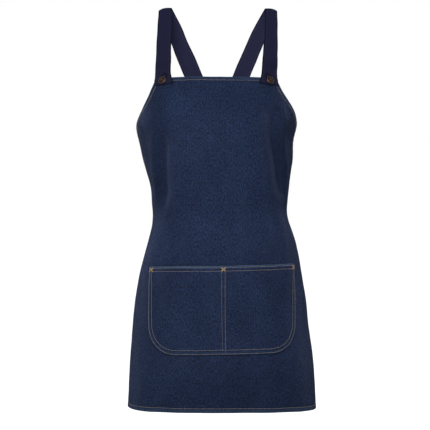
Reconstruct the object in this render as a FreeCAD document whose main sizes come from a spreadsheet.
import FreeCAD, Part
import math
import os
from FreeCAD import Vector, Placement, Rotation, Matrix

# Artist's smock apron in denim: a bib and skirt cut as one panel, webbing
# shoulder straps that button to the bib and cross at the back, and a divided
# patch pocket.  Millimetres, +Z up, the wearer faces -Y, +X is the wearer's
# left.  The origin is the shoulder line: midway between the undersides of the
# two strap arches, on the ridge of the shoulders.

doc = FreeCAD.newDocument("artist_smock_apron")

# ---------------------------------------------------------------- dimensions
sheet = doc.addObject("Spreadsheet::Sheet", "Dimensions")
DIMENSIONS = [
    ("panel_thick", 1.2, "12 oz denim"),
    ("turned_thick", 2.2, "hem turned under twice"),
    ("layer_gap", 0.12, "air between sewn layers"),
    ("superness", 2.3, "exponent of the body cross-section"),
    ("bib_top", -150.0, "height of the bib's top edge"),
    ("waist_corner", -434.0, "height of the corner of armhole and side edge"),
    ("skirt_bottom", -832.0, "height of the hem"),
    ("corner_pull", 14.0, "how far the straps draw the bib corners back"),
    ("corner_decay", 28.0, "height over which that draw fades"),
    ("hem_width", 10.0, "turned hem, all round"),
    ("hem_stitch_inset", 7.4, "stitch line from the edge, top and bottom"),
    ("side_stitch_inset", 6.4, "stitch line from the edge, armhole and side"),
    ("thread_width", 0.8, "topstitching thread"),
    ("thread_height", 0.3, "topstitching thread above the cloth"),
    ("pocket_top", -534.6, "pocket mouth"),
    ("pocket_bottom", -715.5, "pocket lower edge"),
    ("pocket_half", 163.0, "half the pocket's width along the cloth"),
    ("pocket_corner", 58.0, "radius of the pocket's lower corners"),
    ("pocket_puff", 17.5, "how far each pouch stands off the skirt"),
    ("pocket_mouth_gap", 2.7, "room for the mouth hem"),
    ("mouth_hem_width", 16.0, "turned hem of the pocket mouth"),
    ("pocket_stitch_inset", 2.0, "outer needle line"),
    ("twin_spacing", 7.0, "between the two needle lines"),
    ("bartack_length", 9.6, "arm of the crossed bartack"),
    ("bartack_width", 1.6, "arm of the crossed bartack"),
    ("bartack_height", 0.5, "arm of the crossed bartack"),
    ("strap_width", 32.0, "webbing"),
    ("strap_thick", 2.0, "webbing"),
    ("strap_offset", 1.8, "strap above the bib's inner face"),
    ("strap_half_spacing", 108.0, "button from the middle of the bib"),
    ("strap_slope", 0.42, "run of the back straps toward the middle"),
    ("crossing_height", -258.0, "where the back straps cross"),
    ("strap_end_front", -167.5, "height of the buttoned end"),
    ("strap_end_back", -462.0, "height of the sewn end"),
    ("knuckle_front", -134.0, "height of the flex line above the button"),
    ("knuckle_back", -203.0, "height of the flex line above the crossing"),
    ("knuckle_radius", 14.6, "rounded end of the flexing stretch"),
    ("knuckle_socket", 15.6, "rounded hollow it turns in"),
    ("socket_depth", 8.6, "shoulders of that hollow below the flex line"),
    ("crossing_lift", 3.4, "outer strap over the inner one"),
    ("button_height", -158.6, "button centre"),
    ("cap_radius", 8.5, "button cap"),
    ("cap_height", 3.2, "button cap"),
    ("cap_under", 5.0, "underside of the cap above the bib's inner face"),
    ("collar_radius", 4.0, "neck of the button"),
    ("collar_base", 1.75, "foot of the neck"),
    ("shank_radius", 1.4, "tack nail"),
    ("shank_tip", 6.3, "end of the nail inside the cap"),
    ("turn_clearance", 0.05, "cap on nail, radial"),
    ("tack_head_radius", 4.6, "head of the nail inside the bib"),
    ("tack_head_height", 1.1, "head of the nail inside the bib"),
    ("patch_thick", 1.0, "cloth patch behind the button"),
    ("patch_half", 11.0, "half its side"),
    ("buttonhole_length", 21.0, "slot in the strap"),
    ("buttonhole_half_width", 4.7, "slot in the strap"),
    ("buttonhole_rim", 2.2, "width of the buttonhole stitching"),
    ("box_half", 7.5, "half the side of the box stitching"),
    ("box_shift", 8.0, "box stitching inward from the strap's middle"),
    ("thread_clear", 0.15, "air under the stitching round the armholes"),
    ("head_clear", 0.55, "air between the nail's head and its patch"),
]
# Cross-sections from the top of the bib down: height, half width, depth in
# front, depth behind, and the cloth's edge along the section from the middle.
SECTIONS = [
    (-150.0, 158.0, 92.0, 70.0, 129.0),
    (-172.0, 161.0, 101.0, 74.0, 143.0),
    (-200.0, 165.0, 112.0, 77.0, 168.0),
    (-222.0, 167.0, 119.0, 78.0, 191.0),
    (-241.0, 168.0, 123.0, 78.0, 206.0),
    (-262.0, 166.0, 123.0, 77.0, 214.0),
    (-285.0, 162.5, 120.5, 73.0, 219.0),
    (-327.0, 155.0, 112.0, 64.0, 229.0),
    (-370.0, 146.0, 102.0, 56.0, 248.0),
    (-400.0, 142.5, 98.0, 52.0, 265.0),
    (-430.0, 141.2, 96.0, 50.0, 284.0),
    (-480.0, 152.5, 107.5, 60.0, 307.5),
    (-545.0, 167.8, 119.0, 82.0, 332.0),
    (-610.0, 179.5, 122.5, 96.0, 348.5),
    (-680.0, 186.5, 124.0, 104.0, 362.0),
    (-750.0, 192.0, 126.5, 108.0, 374.0),
    (-832.0, 196.0, 129.0, 110.0, 384.0),
]
for index, (hgt, side, front, back, edge) in enumerate(SECTIONS, start=1):
    DIMENSIONS += [
        ("level_%d" % index, hgt, "section height"),
        ("side_%d" % index, side, "section half width"),
        ("front_%d" % index, front, "section depth in front"),
        ("back_%d" % index, back, "section depth behind"),
        ("edge_%d" % index, edge, "cloth edge along the section"),
    ]
for index, (alias, value, note) in enumerate(DIMENSIONS, start=1):
    sheet.set("A%d" % index, alias)
    sheet.set("B%d" % index, str(value))
    sheet.set("C%d" % index, note)
    sheet.setAlias("B%d" % index, alias)
doc.recompute()


def dim(alias):
    return float(sheet.get(alias))


# ------------------------------------------------------------- form of cloth
class Spline:
    """Natural cubic spline through (x, y), straight beyond its ends."""

    def __init__(self, xs, ys):
        self.x, self.y = list(xs), list(ys)
        n = len(self.x)
        self.m = [0.0] * n
        if n > 2:
            a, b, c, d = [0.0] * n, [1.0] * n, [0.0] * n, [0.0] * n
            for i in range(1, n - 1):
                lo, hi = self.x[i] - self.x[i - 1], self.x[i + 1] - self.x[i]
                a[i], b[i], c[i] = lo, 2 * (lo + hi), hi
                d[i] = 6 * ((self.y[i + 1] - self.y[i]) / hi
                            - (self.y[i] - self.y[i - 1]) / lo)
            for i in range(1, n):
                f = a[i] / b[i - 1]
                b[i] -= f * c[i - 1]
                d[i] -= f * d[i - 1]
            self.m[n - 1] = d[n - 1] / b[n - 1]
            for i in range(n - 2, -1, -1):
                self.m[i] = (d[i] - c[i] * self.m[i + 1]) / b[i]

    def __call__(self, v):
        x, y, m = self.x, self.y, self.m
        n = len(x)
        if v <= x[0] or v >= x[-1]:
            i, at = (0, 0) if v <= x[0] else (n - 2, n - 1)
            g = x[i + 1] - x[i]
            slope = (y[i + 1] - y[i]) / g
            slope += (-g * (2 * m[i] + m[i + 1]) / 6 if at == 0
                      else g * (m[i] + 2 * m[i + 1]) / 6)
            return y[at] + slope * (v - x[at])
        lo, hi = 0, n - 1
        while hi - lo > 1:
            mid = (lo + hi) // 2
            if x[mid] <= v:
                lo = mid
            else:
                hi = mid
        g = x[hi] - x[lo]
        p, q = (x[hi] - v) / g, (v - x[lo]) / g
        return (p * y[lo] + q * y[hi]
                + ((p ** 3 - p) * m[lo] + (q ** 3 - q) * m[hi]) * g * g / 6)


COUNT = len(SECTIONS)
LEVELS = [-dim("level_%d" % i) for i in range(1, COUNT + 1)]
side_of = Spline(LEVELS, [dim("side_%d" % i) for i in range(1, COUNT + 1)])
front_of = Spline(LEVELS, [dim("front_%d" % i) for i in range(1, COUNT + 1)])
back_of = Spline(LEVELS, [dim("back_%d" % i) for i in range(1, COUNT + 1)])
edge_of = Spline(LEVELS, [dim("edge_%d" % i) for i in range(1, COUNT + 1)])
SUPER = dim("superness")
STEPS = 150
TOP, BOTTOM = dim("bib_top"), dim("skirt_bottom")
_tables = {}


def section(z):
    """Half of the cross-section at height z, as points with their arc length
    from the front centre to the back centre."""
    key = round(z, 4)
    if key not in _tables:
        a, f, b = side_of(-z), front_of(-z), back_of(-z)
        pts = []
        for i in range(STEPS + 1):
            th = 0.5 * math.pi * i / STEPS
            pts.append((a * math.sin(th) ** (2 / SUPER),
                        -f * max(0.0, math.cos(th)) ** (2 / SUPER)))
        for i in range(STEPS - 1, -1, -1):
            th = 0.5 * math.pi * i / STEPS
            pts.append((a * math.sin(th) ** (2 / SUPER),
                        b * max(0.0, math.cos(th)) ** (2 / SUPER)))
        arc = [0.0]
        for p, q in zip(pts, pts[1:]):
            arc.append(arc[-1] + math.hypot(q[0] - p[0], q[1] - p[1]))
        _tables[key] = (pts, arc)
    return _tables[key]


def half_round(z):
    return section(z)[1][-1]


def base(s, z):
    """The body surface: s along the section from the front centre, height z.
    Past the back centre it carries on round the other side."""
    pts, arc = section(z)
    full = arc[-1]
    if s > full:
        s -= 2 * full
    elif s < -full:
        s += 2 * full
    r = min(abs(s), full)
    lo, hi = 0, len(arc) - 1
    while hi - lo > 1:
        mid = (lo + hi) // 2
        if arc[mid] <= r:
            lo = mid
        else:
            hi = mid
    k = (r - arc[lo]) / (arc[hi] - arc[lo])
    x = pts[lo][0] + k * (pts[hi][0] - pts[lo][0])
    y = pts[lo][1] + k * (pts[hi][1] - pts[lo][1])
    if r < 260.0:
        fade = 1.0 if r < 150 else max(0.0, 1 - (r - 150) / 110.0) ** 2
        y += (dim_pull * min(1.6, (r / 129.0) ** 2.5) * fade
              * math.exp(min(0.75, (z - TOP) / dim_decay)))
    return Vector(x if s >= 0 else -x, y, z)


dim_pull, dim_decay = dim("corner_pull"), dim("corner_decay")


def normal(s, z):
    along = base(s + 1.5, z) - base(s - 1.5, z)
    up = base(s, z + 1.5) - base(s, z - 1.5)
    n = along.cross(up)
    n.normalize()
    return n


def on_cloth(s, z, off):
    return base(s, z) + normal(s, z) * off


def smooth(lo, hi, v):
    k = min(1.0, max(0.0, (v - lo) / (hi - lo)))
    return k * k * (3 - 2 * k)


# --------------------------------------------------------------- solid makers
def closed(faces):
    shell = Part.makeShell(faces)
    shell.sewShape()
    body = Part.makeSolid(shell)
    if body.Volume < 0:
        body.reverse()
    return body


def ruled(first, second):
    """The ruled face between two edges, taken the way that doesn't twist."""
    straight = Part.makeRuledSurface(first, second)
    turned_round = second.copy()
    turned_round.reverse()
    other = Part.makeRuledSurface(first, turned_round)
    return other if other.Area < 0.999 * straight.Area else straight


def surface(fn, nu, nv):
    grid = [[fn(i / (nu - 1), j / (nv - 1)) for j in range(nv)]
            for i in range(nu)]
    srf = Part.BSplineSurface()
    srf.interpolate(grid)
    return srf


def sheet_solid(inner, outer, nu, nv):
    """A piece of cloth between two smooth faces, closed by ruled edges."""
    a, b = surface(inner, nu, nv), surface(outer, nu, nv)
    faces = [a.toShape(), b.toShape()]
    ua, va = a.bounds()[:2], a.bounds()[2:]
    ub, vb = b.bounds()[:2], b.bounds()[2:]
    for k in (0, 1):
        faces.append(ruled(a.uIso(ua[k]).toShape(), b.uIso(ub[k]).toShape()))
        faces.append(ruled(a.vIso(va[k]).toShape(), b.vIso(vb[k]).toShape()))
    return closed(faces)


def bar_solid(corners):
    """A narrow strip: four corner lines along its length, ruled between."""
    edges = []
    for line in corners:
        curve = Part.BSplineCurve()
        curve.interpolate(line)
        edges.append(curve.toShape())
    faces = []
    for k in range(4):
        faces.append(ruled(edges[k], edges[(k + 1) % 4]))
    for end in (0, -1):
        p = [line[end] for line in corners]
        faces.append(ruled(Part.makeLine(p[0], p[1]), Part.makeLine(p[3], p[2])))
    return closed(faces)


def strip(path, width, low, high, place=on_cloth):
    """A strip laid on the cloth along path, a list of (s, z) points."""
    lines = [[], [], [], []]
    n = len(path)
    for i, (s, z) in enumerate(path):
        a, b = path[max(0, i - 1)], path[min(n - 1, i + 1)]
        ds, dz = b[0] - a[0], b[1] - a[1]
        g = math.hypot(ds, dz)
        ns, nz = -dz / g * width / 2, ds / g * width / 2
        lo = low(s, z) if callable(low) else low
        hi = high(s, z) if callable(high) else high
        lines[0].append(place(s - ns, z - nz, lo))
        lines[1].append(place(s + ns, z + nz, lo))
        lines[2].append(place(s + ns, z + nz, hi))
        lines[3].append(place(s - ns, z - nz, hi))
    return bar_solid(lines)


def along(points, count):
    """Resample a polyline evenly."""
    arc = [0.0]
    for p, q in zip(points, points[1:]):
        arc.append(arc[-1] + math.hypot(q[0] - p[0], q[1] - p[1]))
    out = []
    for i in range(count):
        want = arc[-1] * i / (count - 1)
        k = 0
        while k < len(arc) - 2 and arc[k + 1] < want:
            k += 1
        f = (want - arc[k]) / (arc[k + 1] - arc[k])
        out.append((points[k][0] + f * (points[k + 1][0] - points[k][0]),
                    points[k][1] + f * (points[k + 1][1] - points[k][1])))
    return out


NODES = []


def feature(label, shape, node=True):
    obj = doc.addObject("Part::Feature", label)
    obj.Shape = shape
    obj.Label = label
    obj.Placement = Placement()
    if node:
        NODES.append(obj)
    return obj


THICK = dim("panel_thick")
GAP = dim("layer_gap")
TURN = dim("turned_thick")
HEM = dim("hem_width")
CORNER = dim("waist_corner")
THREAD_LOW = THICK + GAP
THREAD_HIGH = THREAD_LOW + dim("thread_height")
THREAD = dim("thread_width")
BUTTON_Z = dim("button_height")


def arc_for(x_wanted, z):
    """Where along the section the cloth is x_wanted from the middle."""
    lo, hi = 0.0, 200.0
    for _ in range(40):
        mid = 0.5 * (lo + hi)
        if base(mid, z).x < x_wanted:
            lo = mid
        else:
            hi = mid
    return 0.5 * (lo + hi)


BUTTON_S = arc_for(dim("strap_half_spacing"), BUTTON_Z)


def frame_at(sign):
    """Placement with Z along the button's axis, X along the strap's width."""
    origin = base(sign * BUTTON_S, BUTTON_Z)
    axis = normal(sign * BUTTON_S, BUTTON_Z)
    across = base(sign * BUTTON_S + 2, BUTTON_Z) - base(sign * BUTTON_S - 2, BUTTON_Z)
    across = across - axis * across.dot(axis)
    across.normalize()
    up = axis.cross(across)
    m = Matrix(across.x, up.x, axis.x, origin.x,
               across.y, up.y, axis.y, origin.y,
               across.z, up.z, axis.z, origin.z, 0, 0, 0, 1)
    return Placement(m), origin, axis


# ------------------------------------------------------------------- panel
def panel_face(off):
    def at(p, q):
        # rows are closer together round the bust, where the edge turns
        z = TOP + (BOTTOM - TOP) * (0.72 * q + 0.28 * q * q)
        return on_cloth((2 * p - 1) * edge_of(-z), z, off)
    return at


def cut_by(label, blank, tools):
    """The blank with the tools taken away, as a chain of cut objects."""
    last = blank
    for k, tool in enumerate(tools):
        cut = doc.addObject("Part::Cut", "%s_cut_%d" % (label, k + 1))
        cut.Base, cut.Tool = last, tool
        last = cut
    last.Label = label
    NODES.append(last)
    return last


def hole_tool(name, sign, radius, start, length):
    """A cylinder on the button's axis, its size bound to the sheet."""
    tool = doc.addObject("Part::Cylinder", name)
    tool.setExpression("Radius", radius)
    tool.Height = length
    place, origin, axis = frame_at(sign)
    tool.Placement = Placement(origin + axis * start, place.Rotation)
    return tool


panel_blank = feature("apron_panel_blank",
                      sheet_solid(panel_face(0.0), panel_face(THICK), 45, 49),
                      node=False)
SIDES = (("left", -1), ("right", 1))
cut_by("apron_panel", panel_blank,
       [hole_tool("nail_hole_%s" % n, s, "Dimensions.shank_radius + 0.15",
                  -1.0, 4.0) for n, s in SIDES])

# ---------------------------------------------------------------------- hems
inside_low, inside_high = -GAP - TURN, -GAP


def edge_path(z_from, z_to, inset, count, sign):
    """A line inset from the cloth's side edge, measured square to it."""
    out = []
    for i in range(count):
        z = z_from + (z_to - z_from) * i / (count - 1)
        lean = (edge_of(-(z - 1)) - edge_of(-(z + 1))) / 2.0
        s = edge_of(-z) - inset * math.sqrt(1 + lean * lean)
        out.append((sign * s, z))
    return out


top_line = TOP - HEM / 2 - 0.2
top_half = edge_of(-top_line) - HEM - 3.5
top_hem_blank = feature(
    "bib_top_hem_blank",
    strip([(-top_half + 2 * top_half * i / 20, top_line) for i in range(21)],
          HEM, inside_low, inside_high), node=False)
cut_by("bib_top_hem", top_hem_blank,
       [hole_tool("hem_nail_hole_%s" % n, s, "Dimensions.shank_radius + 0.15",
                  -5.0, 6.0) for n, s in SIDES])
for name, sign in SIDES:
    feature("armhole_hem_%s" % name,
            strip(edge_path(TOP - 6.5, CORNER + 3.5, HEM / 2 + 0.3, 34, sign),
                  HEM, inside_low, inside_high))
    feature("side_hem_%s" % name,
            strip(edge_path(CORNER - 3.5, BOTTOM + HEM + 1.0, HEM / 2 + 0.3, 30, sign),
                  HEM, inside_low, inside_high))
bottom_line = BOTTOM + HEM / 2 + 0.2
bottom_half = edge_of(-bottom_line) - 0.4
feature("bottom_hem",
        strip([(-bottom_half + 2 * bottom_half * i / 64, bottom_line)
               for i in range(65)], HEM, inside_low, inside_high))

# --------------------------------------------------- topstitching of the hems
top_stitch = TOP - 6.0
stitch_half = edge_of(-top_stitch) - 6.5
feature("bib_top_stitching",
        strip([(-stitch_half + 2 * stitch_half * i / 24, top_stitch)
               for i in range(25)], THREAD, THREAD_LOW, THREAD_HIGH))
bottom_stitch = BOTTOM + dim("hem_stitch_inset")
stitch_half = edge_of(-bottom_stitch) - 4.0
feature("bottom_hem_stitching",
        strip([(-stitch_half + 2 * stitch_half * i / 64, bottom_stitch)
               for i in range(65)], THREAD, THREAD_LOW, THREAD_HIGH))
inset = dim("side_stitch_inset")
for name, sign in SIDES:
    feature("armhole_stitching_%s" % name,
            strip(edge_path(TOP - 8.5, CORNER + 1.0, inset, 40, sign), THREAD,
                  THREAD_LOW + dim("thread_clear"), THREAD_HIGH + dim("thread_clear")))
    feature("side_stitching_%s" % name,
            strip(edge_path(CORNER - 1.0, bottom_stitch + 2.0, inset, 34, sign),
                  THREAD, THREAD_LOW, THREAD_HIGH))

# -------------------------------------------------------------------- pocket
P_TOP, P_BOT = dim("pocket_top"), dim("pocket_bottom")
P_HALF, P_R = dim("pocket_half"), dim("pocket_corner")
P_HEIGHT = P_TOP - P_BOT
PUFF, MOUTH = dim("pocket_puff"), dim("pocket_mouth_gap")


def pocket_gap(s, z):
    """How far the pocket's inner face stands off the skirt's outer face."""
    p = min(1.0, abs(s) / P_HALF)
    q = min(1.0, max(0.0, (P_TOP - z) / P_HEIGHT))
    lift = MOUTH * (1 - smooth(0.06, 0.34, q))
    pouch = PUFF * math.sin(math.pi * p) ** 2 * max(0.0, 1 - q ** 3)
    return GAP + lift + pouch


def on_pocket(s, z, off):
    """off is measured from the pocket's inner face, outward."""
    return on_cloth(s, z, THICK + pocket_gap(s, z) + off)


def pocket_rows(inset=0.0):
    """The pocket's side line, from the mouth down round the corner."""
    half, bottom, r = P_HALF - inset, P_BOT + inset, P_R - inset
    rows = [(half, P_TOP + (bottom + r - P_TOP) * i / 16) for i in range(17)]
    for i in range(1, 15):
        a = math.radians(80.0) * i / 14
        rows.append((half - r + r * math.cos(a), bottom + r - r * math.sin(a)))
    return rows


ROWS = along(pocket_rows(), 33)


def pocket_face(off):
    def at(p, q):
        half, z = ROWS[int(round(q * 32))]
        return on_pocket((2 * p - 1) * half, z, off)
    return at


feature("pocket_panel", sheet_solid(pocket_face(0.0), pocket_face(THICK), 49, 33))
mouth_line = P_TOP - dim("mouth_hem_width") / 2 - 0.2
mouth_half = P_HALF - 1.0
feature("pocket_mouth_hem",
        strip([(-mouth_half + 2 * mouth_half * i / 48, mouth_line)
               for i in range(49)], dim("mouth_hem_width"),
              -TURN - GAP, -GAP, place=on_pocket))
inset = dim("pocket_stitch_inset")
spacing = dim("twin_spacing")


def u_line(depth):
    """The stitch line down one side, round the bottom and up the other."""
    right = pocket_rows(depth)[1:]
    right[0] = (right[0][0], P_TOP - 14.0)
    right = [p for p in right if p[1] < P_TOP - 13.0]
    left = [(-s, z) for s, z in reversed(right)]
    return along(right + left, 97)


def pocket_thread(path):
    return strip(path, THREAD, THICK + GAP, THICK + GAP + dim("thread_height"),
                 place=on_pocket)


feature("pocket_outer_stitching", pocket_thread(u_line(inset)))
feature("pocket_inner_stitching", pocket_thread(u_line(inset + spacing)))
mouth_rows = []
for depth in (3.0, 3.0 + spacing):
    half = P_HALF - 3.0
    mouth_rows.append(pocket_thread(
        [(-half + 2 * half * i / 48, P_TOP - depth) for i in range(49)]))
feature("pocket_mouth_stitching", Part.makeCompound(mouth_rows))
divider = []
for offset in (-spacing / 2, spacing / 2):
    divider.append(pocket_thread(
        [(offset, P_TOP - 14.0 + (P_BOT + inset + spacing + 1.5 - P_TOP + 14.0) * i / 20)
         for i in range(21)]))
feature("pocket_divider_stitching", Part.makeCompound(divider))

# crossed bartacks at the ends and the middle of the mouth
for name, s in (("left", -P_HALF + 5.6), ("centre", 0.0), ("right", P_HALF - 5.6)):
    z = P_TOP - 6.5
    origin = on_pocket(s, z, THICK + GAP + 0.55)
    a = on_pocket(s + 4, z, THICK) - on_pocket(s - 4, z, THICK)
    b = on_pocket(s, z + 4, THICK) - on_pocket(s, z - 4, THICK)
    a.normalize()
    n = a.cross(b)
    n.normalize()
    b = n.cross(a)
    place = Placement(Matrix(a.x, b.x, n.x, origin.x, a.y, b.y, n.y, origin.y,
                             a.z, b.z, n.z, origin.z, 0, 0, 0, 1))
    arms = []
    for k, turn in enumerate((38.0, -38.0)):
        arm = doc.addObject("Part::Box", "bartack_%s_arm_%d" % (name, k + 1))
        arm.setExpression("Length", "Dimensions.bartack_length")
        arm.setExpression("Width", "Dimensions.bartack_width")
        arm.setExpression("Height", "Dimensions.bartack_height")
        spin = Rotation(Vector(0, 0, 1), turn)
        shift = spin.multVec(Vector(-dim("bartack_length") / 2,
                                    -dim("bartack_width") / 2, 0))
        arm.Placement = Placement(shift, spin)
        arms.append(arm)
    tack = doc.addObject("Part::Fuse", "bartack_%s_fuse" % name)
    tack.Base, tack.Tool = arms
    tack.Placement = place
    tack.Label = "bartack_%s" % name
    NODES.append(tack)

# -------------------------------------------------------------------- straps
WIDE, DEEP = dim("strap_width"), dim("strap_thick")
LIFT = dim("strap_offset")
SLOPE, CROSS = dim("strap_slope"), dim("crossing_height")
BACK_TURN = math.atan(SLOPE)
S_FRONT = BUTTON_S


def back_offset(z, over):
    """Inner face of the strap from the body surface, down the back."""
    near = smooth(-330.0, -425.0, z)
    bump = math.exp(-((z - CROSS) / 52.0) ** 2)
    high = 0.3 + (dim("crossing_lift") * bump if over else 0.0)
    return high * (1 - near) + (-GAP - TURN - GAP - 0.1 - DEEP) * near


def strap_back(z, wide, off, over):
    """The strap on the back; wide is positive toward its outer edge."""
    c = SLOPE * (z - CROSS) + wide * math.cos(BACK_TURN)
    h = z - wide * math.sin(BACK_TURN)
    s = half_round(h) - c
    return on_cloth(s, h, back_offset(z, over) + off)


def strap_front(z, wide, off):
    return on_cloth(S_FRONT + wide, z, LIFT + off)


def strap_knots(over):
    knots = []
    for z in (-168.0, -160.0, -150.0, -142.0, -134.0):
        knots.append(strap_front(z, 0, 0))
    foot = knots[-1]
    for x, k, z in ((108.2, 0.80, -108.0), (108.6, 0.57, -78.0), (109.0, 0.37, -50.0),
                    (109.3, 0.20, -26.0), (109.4, 0.085, -9.5)):
        knots.append(Vector(x, foot.y * k, z))
    knots.append(Vector(109.4, 0.0, 0.0))
    for z, y in ((-3.0, 10.5), (-12.5, 19.5), (-29.0, 29.0), (-52.0, 39.0),
                 (-78.0, 48.5), (-104.0, 57.0)):
        knots.append(Vector(SLOPE * (z - CROSS), y, z))
    for z in (-150.0, -175.0, -203.0, -230.0, -258.0, -285.0, -315.0, -345.0,
              -375.0, -400.0, -420.0, -440.0, -462.0):
        knots.append(strap_back(z, 0, 0, over))
    return knots


class Strap:
    """One strap from its buttoned end over the shoulder to its sewn end.
    over is true for the strap that passes outside at the crossing; side is
    +1 for the strap buttoned on the +X side."""

    def __init__(self, side, over):
        self.side, self.over = side, over
        knots = strap_knots(over)
        arc = [0.0]
        for p, q in zip(knots, knots[1:]):
            arc.append(arc[-1] + (q - p).Length)
        self.length = arc[-1]
        self.fx = Spline(arc, [k.x for k in knots])
        self.fy = Spline(arc, [k.y for k in knots])
        self.fz = Spline(arc, [k.z for k in knots])
        self.apex = arc[10]
        self.arc = arc

    def centre(self, t):
        return Vector(self.fx(t), self.fy(t), self.fz(t))

    def tangent(self, t):
        d = self.centre(t + 1) - self.centre(t - 1)
        d.normalize()
        return d

    def find(self, z, back):
        lo, hi = (self.apex, self.length) if back else (0.0, self.apex)
        for _ in range(50):
            mid = 0.5 * (lo + hi)
            if (self.fz(mid) > z) == back:
                lo = mid
            else:
                hi = mid
        return 0.5 * (lo + hi)

    def free(self, t, wide, off):
        """The stretch over the shoulder, flat across its width."""
        tangent = self.tangent(t)
        foot = (strap_front(-134.0, 4, 0) - strap_front(-134.0, -4, 0)).normalize()
        top = Vector(math.cos(math.radians(6)), 0, -math.sin(math.radians(6)))
        low = (strap_back(-150.0, 4, 0, self.over) - strap_back(-150.0, -4, 0, self.over)).normalize()
        if t < self.apex:
            k = smooth(self.arc[4], self.apex, t)
            across = foot * (1 - k) + top * k
        else:
            k = smooth(self.apex, self.arc[17], t)
            across = top * (1 - k) + low * k
        across = across - tangent * across.dot(tangent)
        across.normalize()
        out = across.cross(tangent)
        out.normalize()
        return self.centre(t) + across * wide + out * off

    def at(self, t, wide, off):
        """wide across the webbing, positive outward; off from its inner face."""
        z = self.fz(t)
        if t < self.apex:
            k = smooth(-112.0, -134.0, z)
            p = self.free(t, wide, off) if k < 1 else Vector()
            q = strap_front(z, wide, off) if k > 0 else Vector()
        else:
            k = smooth(-104.0, -150.0, z)
            p = self.free(t, wide, off) if k < 1 else Vector()
            q = strap_back(z, wide, off, self.over) if k > 0 else Vector()
        v = p * (1 - k) + q * k
        return Vector(v.x * self.side, v.y, v.z)

    def piece(self, t0, t1, count):
        def face(off):
            return lambda p, q: self.at(t0 + (t1 - t0) * q, WIDE * (p - 0.5), off)
        return sheet_solid(face(0.0), face(DEEP), 9, count)

    def knuckle(self, t):
        """Centre, direction along the strap, and outward normal at t."""
        p = self.at(t, 0, DEEP / 2)
        d = self.at(t + 4, 0, DEEP / 2) - self.at(t - 4, 0, DEEP / 2)
        w = self.at(t, 8, DEEP / 2) - self.at(t, -8, DEEP / 2)
        d.normalize()
        n = d.cross(w)
        n.normalize()
        return p, d, n


def disc_tool(name, centre, axis, radius, tall=26.0):
    tool = doc.addObject("Part::Cylinder", name)
    tool.setExpression("Radius", radius)
    tool.Height = tall
    tool.Placement = Placement(centre - axis * tall / 2,
                               Rotation(Vector(0, 0, 1), axis))
    return tool


def beyond_tool(name, centre, forward, axis, long=30.0, wide=60.0, tall=26.0):
    """A block that starts at the flex line and runs on past the strap's end."""
    tool = doc.addObject("Part::Box", name)
    tool.Length, tool.Width, tool.Height = long, wide, tall
    side = axis.cross(forward)
    origin = centre - side * wide / 2 - axis * tall / 2
    tool.Placement = Placement(Matrix(
        forward.x, side.x, axis.x, origin.x, forward.y, side.y, axis.y, origin.y,
        forward.z, side.z, axis.z, origin.z, 0, 0, 0, 1))
    return tool


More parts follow.
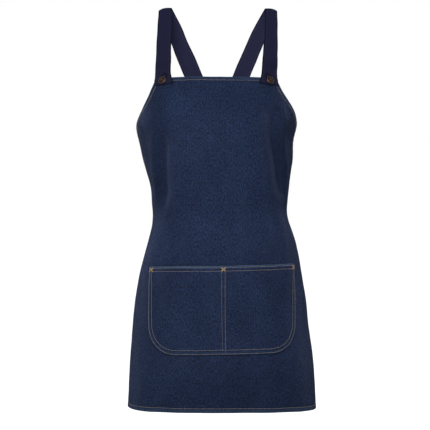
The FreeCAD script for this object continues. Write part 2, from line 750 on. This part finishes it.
AXES = {}
for name, sign in SIDES:
    strap = Strap(sign, over=(name == "left"))
    t_front = strap.find(dim("knuckle_front"), back=False)
    t_back = strap.find(dim("knuckle_back"), back=True)
    t_end = strap.find(dim("strap_end_front"), back=False)
    t_sewn = strap.find(dim("strap_end_back"), back=True)
    # buttoned end: rounded hollow at its top, buttonhole near its foot
    blank = feature("strap_%s_front_blank" % name,
                    strap.piece(t_end, t_front + 2.0, 11), node=False)
    p1, d1, n1 = strap.knuckle(t_front)
    p2, d2, n2 = strap.knuckle(t_back)
    place, origin, axis = frame_at(sign)
    slot_tools = []
    half_slot = dim("buttonhole_length") / 2 - dim("buttonhole_half_width")
    for k, rise in enumerate((0.0, 2 * half_slot)):
        tool = doc.addObject("Part::Cylinder", "buttonhole_end_%s_%d" % (name, k + 1))
        tool.setExpression("Radius", "Dimensions.buttonhole_half_width")
        tool.Height = 8.0
        tool.Placement = place.multiply(Placement(Vector(0, rise, 0), Rotation()))
        slot_tools.append(tool)
    tool = doc.addObject("Part::Box", "buttonhole_side_%s" % name)
    tool.setExpression("Length", "2 * Dimensions.buttonhole_half_width")
    tool.Width = 2 * half_slot
    tool.Height = 8.0
    tool.Placement = place.multiply(
        Placement(Vector(-dim("buttonhole_half_width"), 0, 0), Rotation()))
    slot_tools.append(tool)
    cut_by("strap_%s_front_end" % name, blank, slot_tools
           + [disc_tool("front_socket_%s" % name, p1, n1, "Dimensions.knuckle_socket"),
              beyond_tool("front_shoulder_cut_%s" % name, p1 - d1 * dim("socket_depth"), d1, n1)])
    # the stretch that flexes over the shoulder, rounded at both ends
    t0 = t_front - dim("knuckle_radius") - 1.0
    t1 = t_back + dim("knuckle_radius") + 1.0
    blank = feature("strap_%s_shoulder_blank" % name, strap.piece(t0, t1, 61), node=False)
    tools = []
    for end, (p, d, n, way) in enumerate(((p1, d1, n1, -1), (p2, d2, n2, 1))):
        block = beyond_tool("shoulder_end_%s_%d" % (name, end + 1), p, d * way, n)
        keep = disc_tool("shoulder_round_%s_%d" % (name, end + 1), p, n,
                         "Dimensions.knuckle_radius", tall=30.0)
        ring = doc.addObject("Part::Cut", "shoulder_trim_%s_%d" % (name, end + 1))
        ring.Base, ring.Tool = block, keep
        tools.append(ring)
    cut_by("strap_%s_shoulder" % name, blank, tools)
    # down the back, across the other strap, to the waist corner
    blank = feature("strap_%s_back_blank" % name,
                    strap.piece(t_back - 2.0, t_sewn, 33), node=False)
    cut_by("strap_%s_back" % name, blank,
           [disc_tool("back_socket_%s" % name, p2, n2, "Dimensions.knuckle_socket"),
            beyond_tool("back_shoulder_cut_%s" % name, p2 + d2 * dim("socket_depth"), d2 * -1.0, n2)])
    AXES["strap_%s" % name] = (p1, p2)
    # box stitching through panel and strap end at the waist corner
    z_box = dim("strap_end_back") + 16.0
    c_box = SLOPE * (z_box - CROSS)
    s_box = half_round(z_box) - c_box
    s_box = -sign * (2 * half_round(z_box) - s_box - dim("box_shift"))
    lean = -BACK_TURN
    h = dim("box_half")
    bars = []
    lines = [((-h, -h), (h, -h)), ((h, -h), (h, h)), ((h, h), (-h, h)),
             ((-h, h), (-h, -h)), ((-h, -h), (h, h)),
             ((-h, h), (0, 0)), ((0, 0), (h, -h))]
    for (ax, ay), (bx, by) in lines:
        g = math.hypot(bx - ax, by - ay)
        ux, uy = (bx - ax) / g, (by - ay) / g
        a0 = 1.6 if (ax, ay) != (0, 0) else 1.0
        b0 = 1.6 if (bx, by) != (0, 0) else 1.0
        path = []
        for i in range(5):
            r = a0 + (g - a0 - b0) * i / 4
            x, y = ax + ux * r, ay + uy * r
            path.append((s_box + sign * (x * math.cos(lean) - y * math.sin(lean)),
                         z_box + x * math.sin(lean) + y * math.cos(lean)))
        bars.append(strip(path, THREAD, THREAD_LOW, THREAD_HIGH))
    feature("box_stitching_%s" % name, Part.makeCompound(bars))

# --------------------------------------------------- button hardware (turned)
def origin_plane(body, role):
    for item in body.Origin.OriginFeatures:
        if item.Role == role:
            return item
    raise RuntimeError("no origin plane " + role)


def profile_sketch(body, name, role, corners, shift=None):
    """A closed straight-sided profile; every corner is bound to the sheet."""
    sk = body.newObject("Sketcher::SketchObject", name)
    sk.AttachmentSupport = (origin_plane(body, role), [""])
    sk.MapMode = "FlatFace"
    import Sketcher
    values = []
    for ex, ey in corners:
        pair = []
        for e in (ex, ey):
            text = e
            for alias, _, _ in sorted(DIMENSIONS, key=lambda d: -len(d[0])):
                text = text.replace("Dimensions." + alias, repr(dim(alias)))
            text = text.replace(" deg", " * 0.017453292519943295")
            pair.append(sheet_arithmetic(text))
        values.append(pair)
    n = len(corners)
    for i in range(n):
        a, b = values[i], values[(i + 1) % n]
        sk.addGeometry(Part.LineSegment(Vector(a[0], a[1], 0), Vector(b[0], b[1], 0)), False)
    for i in range(n):
        sk.addConstraint(Sketcher.Constraint("Coincident", i, 2, (i + 1) % n, 1))
    for i, (ex, ey) in enumerate(corners):
        for kind, expr, val in (("DistanceX", ex, values[i][0]), ("DistanceY", ey, values[i][1])):
            k = sk.addConstraint(Sketcher.Constraint(kind, -1, 1, i, 1, val))
            label = "%s_%s_%d" % (name, "x" if kind == "DistanceX" else "y", i)
            sk.renameConstraint(k, label)
            sk.setExpression("Constraints." + label, expr)
    return sk


def sheet_arithmetic(text):
    """Sum and product of numbers, cos() and sin() in degrees: used only to
    draw a profile near its final place before its constraints bind it."""
    q = FreeCAD.Units.Quantity(text) if ("cos" not in text and "sin" not in text) else None
    if q is not None:
        return q.Value
    head, tail = text.split("*", 1)
    fn, arg = tail.strip().split("(", 1)
    angle = float(arg.split("*")[0])
    value = math.cos(math.radians(angle)) if fn == "cos" else math.sin(math.radians(angle))
    extra = tail.split(")", 1)[1].strip()
    add = float(extra.lstrip("+ ")) if extra else 0.0
    return float(head) * value + add


def turned(label, sign, corners):
    body = doc.addObject("PartDesign::Body", label + "_body")
    sk = profile_sketch(body, label + "_profile", "XZ_Plane", corners)
    rev = body.newObject("PartDesign::Revolution", label + "_turned")
    rev.Profile = sk
    rev.ReferenceAxis = (sk, ["V_Axis"])
    rev.Angle = 360.0
    body.Tip = rev
    place, _, _ = frame_at(sign)
    body.Placement = place
    body.Label = label
    NODES.append(body)
    return body


D = "Dimensions."
CAP = [
    (D + "shank_radius + " + D + "turn_clearance", D + "cap_under"),
    (D + "cap_radius * 0.86", D + "cap_under"),
    (D + "cap_radius", D + "cap_under + 0.7"),
    (D + "cap_radius", D + "cap_under + 1.3"),
    (D + "cap_radius * 0.93", D + "cap_under + 1.9"),
    (D + "cap_radius * 0.74", D + "cap_under + 2.3"),
    (D + "cap_radius * 0.68", D + "cap_under + 2.1"),
    (D + "cap_radius * 0.50", D + "cap_under + 2.7"),
    (D + "cap_radius * 0.25", D + "cap_under + 3.1"),
    (D + "cap_radius * 0.0", D + "cap_under + " + D + "cap_height"),
    (D + "cap_radius * 0.0", D + "shank_tip + 0.3"),
    (D + "shank_radius + " + D + "turn_clearance", D + "shank_tip + 0.3"),
]
COLLAR = [
    (D + "shank_radius + " + D + "turn_clearance", D + "collar_base"),
    (D + "collar_radius", D + "collar_base"),
    (D + "collar_radius * 0.86", D + "collar_base + 0.5"),
    (D + "collar_radius * 0.86", D + "cap_under"),
    (D + "shank_radius + " + D + "turn_clearance", D + "cap_under"),
]
HEAD = "%.2f" % (inside_low - 0.15 - dim("patch_thick") - dim("head_clear"))
TACK = [
    ("0", HEAD + " - " + D + "tack_head_height"),
    (D + "tack_head_radius * 0.85", HEAD + " - " + D + "tack_head_height"),
    (D + "tack_head_radius", HEAD + " - " + D + "tack_head_height * 0.6"),
    (D + "tack_head_radius", HEAD),
    (D + "shank_radius", HEAD),
    (D + "shank_radius", D + "shank_tip - 0.8"),
    (D + "shank_radius * 0.4", D + "shank_tip"),
    ("0", D + "shank_tip"),
]
for name, sign in SIDES:
    turned("button_cap_%s" % name, sign, CAP)
    turned("button_collar_%s" % name, sign, COLLAR)
    turned("button_tack_%s" % name, sign, TACK)
    # cloth patch behind the bib, between the hem and the nail's head
    high = inside_low - 0.15
    low = high - dim("patch_thick")
    half = dim("patch_half")
    path = [(sign * BUTTON_S - half + 2 * half * i / 6, BUTTON_Z - 2.6) for i in range(7)]
    blank = feature("button_patch_%s_blank" % name,
                    strip(path, 2 * (half - 0.5), low, high), node=False)
    cut_by("button_reinforcement_%s" % name, blank,
           [hole_tool("patch_nail_hole_%s" % name, sign,
                      "Dimensions.shank_radius + 0.15", -8.0, 7.0)])
    # rim of close stitching round the buttonhole
    place, origin, axis = frame_at(sign)
    rim = dim("buttonhole_rim")
    slot = dim("buttonhole_half_width") + 0.15
    body = doc.addObject("PartDesign::Body", "buttonhole_rim_%s" % name)
    sk = body.newObject("Sketcher::SketchObject", "rim_profile_%s" % name)
    sk.AttachmentSupport = (origin_plane(body, "XY_Plane"), [""])
    sk.MapMode = "FlatFace"
    for r in (slot, slot + rim):
        low_end, high_end = Vector(0, 0, 0), Vector(0, 2 * half_slot, 0)
        sk.addGeometry(Part.ArcOfCircle(Part.Circle(low_end, Vector(0, 0, 1), r), math.pi, 2 * math.pi), False)
        sk.addGeometry(Part.LineSegment(Vector(r, 0, 0), Vector(r, 2 * half_slot, 0)), False)
        sk.addGeometry(Part.ArcOfCircle(Part.Circle(high_end, Vector(0, 0, 1), r), 0, math.pi), False)
        sk.addGeometry(Part.LineSegment(Vector(-r, 2 * half_slot, 0), Vector(-r, 0, 0)), False)
    pad = body.newObject("PartDesign::Pad", "rim_pad_%s" % name)
    pad.Profile = sk
    pad.Length = 0.4
    body.Tip = pad
    body.Placement = place.multiply(Placement(Vector(0, 0, LIFT + DEEP + 0.25), Rotation()))
    body.Label = "buttonhole_stitching_%s" % name
    NODES.append(body)

doc.recompute()

# ------------------------------------------------------------------- checks
faults = []
for obj in doc.Objects:
    if "Invalid" in obj.State or "Error" in obj.State:
        faults.append("%s: %s" % (obj.Label, obj.State))
for obj in NODES:
    if obj.Shape.isNull() or not obj.Shape.isValid() or obj.Shape.Volume <= 0:
        faults.append("%s: shape null, not valid or empty" % obj.Label)
if faults:
    raise RuntimeError("; ".join(faults))

os.makedirs("parts", exist_ok=True)
for obj in NODES:
    obj.Shape.exportStep("parts/%s.step" % obj.Label)
    box = obj.Shape.BoundBox
    print("%-28s solids %d  volume %9.1f  x %7.1f..%7.1f  y %7.1f..%7.1f  z %7.1f..%7.1f"
          % (obj.Label, len(obj.Shape.Solids), obj.Shape.Volume, box.XMin, box.XMax,
             box.YMin, box.YMax, box.ZMin, box.ZMax))
for key, (a, b) in AXES.items():
    print(key, "axis from", a, "to", b)
for name, sign in SIDES:
    _, origin, axis = frame_at(sign)
    print("button", name, origin, axis)
cloth = 0.0
for i in range(200):
    z = TOP + (BOTTOM - TOP) * (i + 0.5) / 200
    cloth += 2 * edge_of(-z) * (TOP - BOTTOM) / 200
print("panel width at hem %.0f mm, cloth area about %.3f m2" % (2 * edge_of(-BOTTOM), cloth / 1e6))
